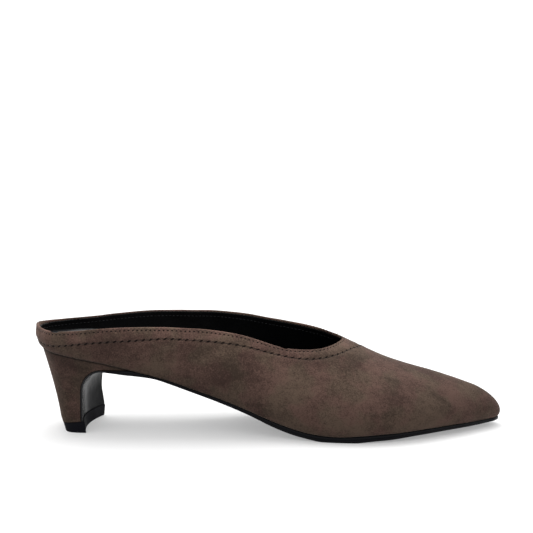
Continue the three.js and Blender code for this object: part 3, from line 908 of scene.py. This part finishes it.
# Where the block's side stands in plan, at a share of the way from its base to the seat.
def block_side(place, side, share, inset=0.0, back=0.0):
    seat = Profile(place, side)
    p = seat.plan(seat.reach - SEAT_INSET, lambda x: 0)
    sign = -1 if side == "lateral" else 1
    round_share = clamped(section_at(place)[side] / WIDEST[side], 0, 1) ** BASE_SQUARENESS
    pull = (BREAST_AT - HEEL_BASE_BACK) / (BREAST_AT - SEAT_BACK)
    base_x = HEEL_BASE_BACK + (p.x - SEAT_BACK) * pull if p.x < BREAST_AT else p.x
    base_y = SEAT_AXIS + sign * HEEL_BASE_WIDTH * round_share / 2
    x = mixed(base_x, p.x, share ** BACK_FLARE)
    y = mixed(base_y, p.y, share ** SEAT_FLARE)
    backward = clamped((BREAST_AT - p.x) / (BREAST_AT - SEAT_BACK), 0, 1)
    tucked = inset + back + HEEL_TUCK * hump(share, 0, HEEL_TUCK_RUN) - BACK_REACH
    return x + tucked * backward, y - sign * inset * round_share


# The breast is hollow across and a little skewed, fading out where it turns forward under the arch.
def breast_shift(x, y, z):
    if x > BREAST_AT + BREAST_RADIUS:
        return 0.0
    across = clamped((y - SEAT_AXIS) / (HEEL_BASE_WIDTH / 2), -BREAST_SPREAD, BREAST_SPREAD)
    fade = clamped((BREAST_ROOF - z) / BREAST_RADIUS, 0, 1)
    low = clamped(1 - z / FOOT_FLARE_HEIGHT, 0, 1)
    flare = FOOT_FLARE * low ** 2
    flare += MEDIAL_FLARE * max(across, 0) * hump(z, MEDIAL_FLARE_AT, MEDIAL_FLARE_RUN)
    return (BREAST_SKEW * (y - SEAT_AXIS) - BREAST_HOLLOW * (1 - across ** 2)) * fade + flare


# How high the room in front of the breast reaches, at a distance ahead of it.
def breast_ceiling(x, ahead):
    radius = BREAST_RADIUS - ahead
    back = BREAST_AT + BREAST_RADIUS - x
    if back <= 0:
        return BREAST_ROOF - ahead
    if back >= radius:
        return -math.inf
    return BREAST_ROOF - BREAST_RADIUS + math.sqrt(radius ** 2 - back ** 2)


# The last place of a level of the block before it meets the breast.
def end_place(side, share, height, ahead, inset, back):
    low, high = 0.0, float(WEDGE_PLACE)
    for _ in range(HALVINGS):
        place = (low + high) / 2
        x, y = block_side(place, side, share, inset, back)
        z = height(x)
        if z < breast_ceiling(x - breast_shift(x, y, z) + inset, ahead):
            high = place
        else:
            low = place
    return high


HEEL_LEVELS = 48
HEEL_CROWD = 1.6
HEEL_AROUND = 60
BREAST_ACROSS = 24


# A closed block between the heel's outline and a breast. Each level is a share of the way up, a height
# as a function of x, an inset all round and one at the back only.
def heel_block(bm, levels, ahead):
    top = len(levels) - 1
    walls = {}
    for side in SIDES:
        rows = []
        for share, height, inset, back in levels:
            last = end_place(side, share, height, ahead, inset, back)
            row = []
            for i in range(HEEL_AROUND + 1):
                x, y = block_side(last * i / HEEL_AROUND, side, share, inset, back)
                row.append(Vector((x, y, height(x))))
            rows.append(row)
        walls[side] = rows
        sheet(bm, HEEL_AROUND, top, lambda i, s: rows[round(s * top)][i])

    def breast(i, s):
        a, b = walls["lateral"][i][-1], walls["medial"][i][-1]
        p = a.lerp(b, s)
        bow = mixed(breast_shift(a.x, a.y, a.z), breast_shift(b.x, b.y, b.z), s)
        p.x += breast_shift(min(p.x, BREAST_AT + BREAST_RADIUS), p.y, p.z) - bow
        return p

    sheet(bm, top, BREAST_ACROSS, breast)
    for level in (0, top):
        left, right = walls["lateral"][level], walls["medial"][level]

        def cap(i, s):
            p = left[i].lerp(right[i], s)
            drawn_back = breast(level, s).x - left[-1].lerp(right[-1], s).x
            p.x += drawn_back * (i / HEEL_AROUND) ** 2
            return p

        sheet(bm, HEEL_AROUND, BREAST_ACROSS, cap)
    bmesh.ops.remove_doubles(bm, verts=bm.verts, dist=MERGE)
    bmesh.ops.recalc_face_normals(bm, faces=bm.faces)


def heel_height(share):
    return lambda x: mixed(lift_top(x) + CLEARANCE, feather_height(x) - CLEARANCE, share)


bm = bmesh.new()
heel_shares = [1 - (1 - i / HEEL_LEVELS) ** HEEL_CROWD for i in range(HEEL_LEVELS + 1)]
heel_block(bm, [(share, heel_height(share), 0.0, 0.0) for share in heel_shares], 0)
note(bm, "seat_gap", lambda v: max(feather_height(v.co.x) - CLEARANCE - v.co.z, 0))
# The heel's copy of the suede is painted darker than the upper's, as shade low down under the upper.
heel_suede = suede_finish("heel_suede", stitched=False, lightness=1.2)
heel = piece_from("heel_cover", bm, heel_suede, EDGE_SHARP)
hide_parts("heel")

# Outsole
# Thin black leather under the whole shoe. From the arch it turns down over the breast as a flap, which
# hides the turned-over suede, and its trimmed edge shows a groove between its two layers.

FLAP_THICKNESS = 0.0011
ROOF_THICKNESS = 0.00095
SOLE_MARGIN = 0.0005
EDGE_ROUND = 0.00035
EDGE_GROOVE = 0.00018
GROOVE_SHARE = 0.55
EDGE_ARC_STEPS = 4
FLAP_STEPS = 14
ARC_STEPS = 18
NIB = 0.0006
NIB_HEIGHT = 0.0025
BLEND_FROM = 0.044
BLEND_TO = 0.056
ARCH_LIFT = 0.0006
ARCH_LIFT_AT = 0.047
ARCH_LIFT_RUN = 0.006
# The flap is polished more than the rest of the sole, back from here.
FLAP_FROM = 0.045
FLAP_FADE = 0.004
# A patch of painted shade, low on the flap's medial side.
SHADE_PATCH_FROM = -0.006
SHADE_PATCH_BELOW = 0.027
SHADE_PATCH_RUN = 0.011
REACH_PASSES = 6
SOLE_MERGE = 0.00001
SOLE_BLACK = (0.0032, 0.0032, 0.0045, 1)


# A cross-section from the middle of the outer face, out to the edge, round it and back: how far out
# and how deep each point lies.
def sole_section(reach, thickness):
    r = EDGE_ROUND
    out = [(reach - r) * i / ACROSS_STEPS for i in range(ACROSS_STEPS + 1)]
    turns = [math.pi / 2 * i / EDGE_ARC_STEPS for i in range(1, EDGE_ARC_STEPS + 1)]
    groove = GROOVE_SHARE * thickness
    run = [(o, 0.0) for o in out]
    run += [(reach - r + r * math.sin(t), r * (1 - math.cos(t))) for t in turns]
    run += [(reach, groove - r / 2), (reach - EDGE_GROOVE, groove), (reach, groove + r / 2)]
    run += [(reach - r + r * math.cos(t), thickness - r + r * math.sin(t)) for t in [0] + turns]
    run += [(o, thickness) for o in reversed(out[:-1])]
    return run


# A point of the flap, over a point of the breast: how far out to a side, and how deep from its outer face.
def flap_point(x0, z0, normal, thickness, side, reach, depth):
    sign = -1 if side == "lateral" else 1
    y = SEAT_AXIS + sign * reach
    ahead = CLEARANCE + thickness - depth
    x, z = x0 + normal[0] * ahead, z0 + normal[1] * ahead
    return Vector((x + breast_shift(x, y, z), y, z))


# How far the block reaches to a side at a point of the breast.
def block_reach(side, x0, z0):
    sign = -1 if side == "lateral" else 1
    reach = HEEL_BASE_WIDTH / 2
    for _ in range(REACH_PASSES):
        x = x0 + breast_shift(x0, SEAT_AXIS + sign * reach, z0)
        share = clamped((z0 - lift_top(x)) / (feather_height(x) - lift_top(x)), 0, 1)
        low, high = 0.0, float(WEDGE_PLACE)
        for _ in range(HALVINGS):
            place = (low + high) / 2
            if block_side(place, side, share)[0] < x:
                low = place
            else:
                high = place
        reach = sign * (block_side(high, side, share)[1] - SEAT_AXIS)
    return reach


# The breast's profile from the lift up and round under the arch: each point, its normal, and how thick
# the sole is there.
breast_line = []
arc_from = BREAST_ROOF - BREAST_RADIUS
flap_foot = lift_top(BREAST_AT) + CLEARANCE
for i in range(FLAP_STEPS):
    breast_line.append((BREAST_AT, mixed(flap_foot, arc_from, i / FLAP_STEPS), (1, 0), FLAP_THICKNESS))
for i in range(ARC_STEPS + 1):
    turn = math.pi - math.pi / 2 * i / ARC_STEPS
    x = BREAST_AT + BREAST_RADIUS * (1 + math.cos(turn))
    z = arc_from + BREAST_RADIUS * math.sin(turn)
    thickness = mixed(FLAP_THICKNESS, ROOF_THICKNESS, i / ARC_STEPS)
    breast_line.append((x, z, (-math.cos(turn), -math.sin(turn)), thickness))


def sole_top(x):
    return min(BREAST_ROOF, feather_height(x)) - CLEARANCE


def sole_thickness(x):
    lifted = tread_height(x) + ARCH_LIFT * hump(x, ARCH_LIFT_AT, ARCH_LIFT_RUN)
    return sole_top(x) - min(lifted, BREAST_ROOF - CLEARANCE - ROOF_THICKNESS)


def edge_at(place):
    return section_at(place)["edge"] * SHOE_LENGTH


fore_places = [place for place in even_places if edge_at(place) > BREAST_AT + BREAST_RADIUS]
bm = bmesh.new()
for side in SIDES:
    sections = []
    for x0, z0, normal, thickness in breast_line:
        reach = block_reach(side, x0, z0)
        if side == "medial":
            reach += NIB * hump(z0 - flap_foot, 0, NIB_HEIGHT)
        run = sole_section(reach, thickness)
        sections.append([flap_point(x0, z0, normal, thickness, side, *at) for at in run])
    for place in fore_places:
        p = Profile(place, side)
        x = edge_at(place)
        blend = clamped((x - BLEND_FROM) / (BLEND_TO - BLEND_FROM), 0, 1)
        reach = p.reach + mixed(-SEAT_INSET, SOLE_MARGIN, blend * blend * (3 - 2 * blend))
        run = sole_section(reach, sole_thickness(x))
        shares = [depth / sole_thickness(x) for _, depth in run]
        sections.append([
            p.plan(out, lambda at: sole_top(at) - sole_thickness(at) * (1 - share))
            for (out, _), share in zip(run, shares)
        ])
    count = len(sections[0]) - 1
    sheet(bm, len(sections) - 1, count, lambda i, s: sections[i][round(s * count)])
    foot = sections[0]
    half = count // 2

    def foot_cap(i, s):
        return foot[i].lerp(foot[count - i], s)

    sheet(bm, half, 1, foot_cap)
bmesh.ops.remove_doubles(bm, verts=bm.verts, dist=SOLE_MERGE)
bmesh.ops.recalc_face_normals(bm, faces=bm.faces)


# The polish of the flap, with its gloss taken down low on its medial side as painted shade, a dark
# reflection of the shadowed floor.
def polish_and_shade_at(v):
    medial = clamped((v.co.y - SHADE_PATCH_FROM) / SHADE_PATCH_RUN, 0, 1)
    low = clamped((SHADE_PATCH_BELOW - v.co.z) / SHADE_PATCH_RUN, 0, 1)
    return clamped((FLAP_FROM - v.co.x) / FLAP_FADE, 0, 1) * (1 - medial * low)


note(bm, "flap", polish_and_shade_at)
sole_leather = black_leather("sole_leather", SOLE_BLACK, matt=0.5, gloss=0.32, specular=0.07)
polish_and_shade = sole_leather.attribute("flap")
gloss = sole_leather.range(polish_and_shade, 0, 1, to_low=0.08, to_high=0.3)
sole_leather.join(gloss, sole_leather.shader.inputs["Specular IOR Level"])
sole_leather.roughness(sole_leather.range(polish_and_shade, 0, 1, to_low=0.42, to_high=0.24))
outsole = piece_from("outsole_leather", bm, sole_leather.material, EDGE_SHARP)
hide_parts("outsole")

# Top piece
# The black rubber lift nailed under the heel. It stands a little proud of the flap, and its lower rim
# is worn round.

LIFT_PROUD = 0.0007
LIFT_ROUND = 0.0004
LIFT_TAPER = 0.0001
LIFT_BACK_TOP = 0.0004
LIFT_BACK_FOOT = 0.0015
LIFT_TOP_ROUND = 0.0003
LIFT_ARC_STEPS = 5
RUBBER_DARK = (0.0026, 0.0026, 0.0042, 1)
RUBBER_LIGHT = (0.0042, 0.0042, 0.0064, 1)


# The levels of the lift: round its worn lower rim, then round its upper one.
def lift_levels():
    levels = []
    for i in range(LIFT_ARC_STEPS + 1):
        turn = math.pi / 2 * i / LIFT_ARC_STEPS
        low = LIFT_ROUND * (1 - math.cos(turn))
        inset = LIFT_TAPER + LIFT_ROUND * (1 - math.sin(turn))
        levels.append((0.0, lambda x, low=low: low, inset, LIFT_BACK_FOOT))
    for i in range(LIFT_ARC_STEPS + 1):
        turn = math.pi / 2 * i / LIFT_ARC_STEPS
        down = LIFT_TOP_ROUND * (1 - math.sin(turn))
        inset = LIFT_TOP_ROUND * (1 - math.cos(turn))
        levels.append((0.0, lambda x, down=down: lift_top(x) - down, inset, LIFT_BACK_TOP))
    return levels


bm = bmesh.new()
heel_block(bm, lift_levels(), CLEARANCE + FLAP_THICKNESS + LIFT_PROUD)
rubber = Finish("rubber")
where = rubber.where()
rubber.colour(rubber.mix(rubber.noise(where, scale=120, detail=3), RUBBER_DARK, RUBBER_LIGHT))
rubber.set(Specular_IOR_Level=0.05)
dull = rubber.noise(where, scale=90, detail=3)
rubber.roughness(rubber.range(dull, low=0.35, high=0.65, to_low=0.5, to_high=0.7))
rubber.bump((rubber.noise(where, scale=1600, detail=3, rough=0.6), 0.00006))
top_piece = piece_from("top_piece_rubber", bm, rubber.material, EDGE_SHARP)
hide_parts("top_piece")

# Studio
# A white floor that glows a little and a bright white surround behind the shoe, dimmer towards the camera,
# with one broad light from above and behind. The camera stands where the photograph's did.

FLOOR_HALF = 3.0
FLOOR_DARK = (0.6, 0.6, 0.6, 1)
FLOOR_LIGHT = (0.62, 0.62, 0.62, 1)
FLOOR_GLOW = 0.3
bm = bmesh.new()
bmesh.ops.create_grid(bm, x_segments=1, y_segments=1, size=FLOOR_HALF)
mesh = bpy.data.meshes.new("floor")
bm.to_mesh(mesh)
bm.free()
floor = bpy.data.objects.new("floor", mesh)
bpy.context.scene.collection.objects.link(floor)
white = Finish("white_floor")
white.colour(white.mix(white.noise(white.where(), scale=3, detail=2), FLOOR_DARK, FLOOR_LIGHT))
white.set(Roughness=0.9, Specular_IOR_Level=0.1)
white.set(Emission_Color=(1, 1, 1, 1), Emission_Strength=FLOOR_GLOW)
mesh.materials.append(white.material)

SURROUND_BACK = 1.5
SURROUND_FRONT = 1.0
FALL_FROM = -0.5
FALL_TO = 0.4
world = bpy.data.worlds.new("studio")
bpy.context.scene.world = world
world.use_nodes = True
sky = world.node_tree
direction = sky.nodes.new("ShaderNodeTexCoord")
parts = sky.nodes.new("ShaderNodeSeparateXYZ")
sky.links.new(direction.outputs["Generated"], parts.inputs[0])
fall = sky.nodes.new("ShaderNodeMapRange")
fall.interpolation_type = "SMOOTHSTEP"
span = {"From Min": FALL_FROM, "From Max": FALL_TO, "To Min": SURROUND_FRONT, "To Max": SURROUND_BACK}
for name, value in span.items():
    fall.inputs[name].default_value = value
sky.links.new(parts.outputs["Y"], fall.inputs["Value"])
sky.links.new(fall.outputs[0], sky.nodes["Background"].inputs["Strength"])
sky.nodes["Background"].inputs["Color"].default_value = (1, 1, 1, 1)

SUBJECT = (0.0, 0.0, 0.03)
LIGHT_PLACE = (-0.08, 0.3, 1.03)
LIGHT_STRENGTH = 1.7
LIGHT_SPREAD = 40
above = bpy.data.lights.new("above", "SUN")
above.energy = LIGHT_STRENGTH
above.angle = math.radians(LIGHT_SPREAD)
light = bpy.data.objects.new("above", above)
bpy.context.scene.collection.objects.link(light)
light.location = LIGHT_PLACE
light.rotation_euler = (Vector(SUBJECT) - Vector(LIGHT_PLACE)).to_track_quat("-Z", "Y").to_euler()

CAMERA_PLACE = (-0.0018, -0.374, 0.112)
CAMERA_PITCH = 3.54
FOCAL_PIXELS = 670.0
FRAME_PIXELS = 533.0
SENSOR = 36.0
camera_data = bpy.data.cameras.new("camera")
camera_data.sensor_width = SENSOR
camera_data.lens = SENSOR * FOCAL_PIXELS / FRAME_PIXELS
camera = bpy.data.objects.new("camera", camera_data)
camera.location = CAMERA_PLACE
camera.rotation_euler = (math.radians(90 - CAMERA_PITCH), 0, 0)
bpy.context.scene.collection.objects.link(camera)
bpy.context.scene.camera = camera
bpy.context.scene.view_settings.view_transform = "Standard"
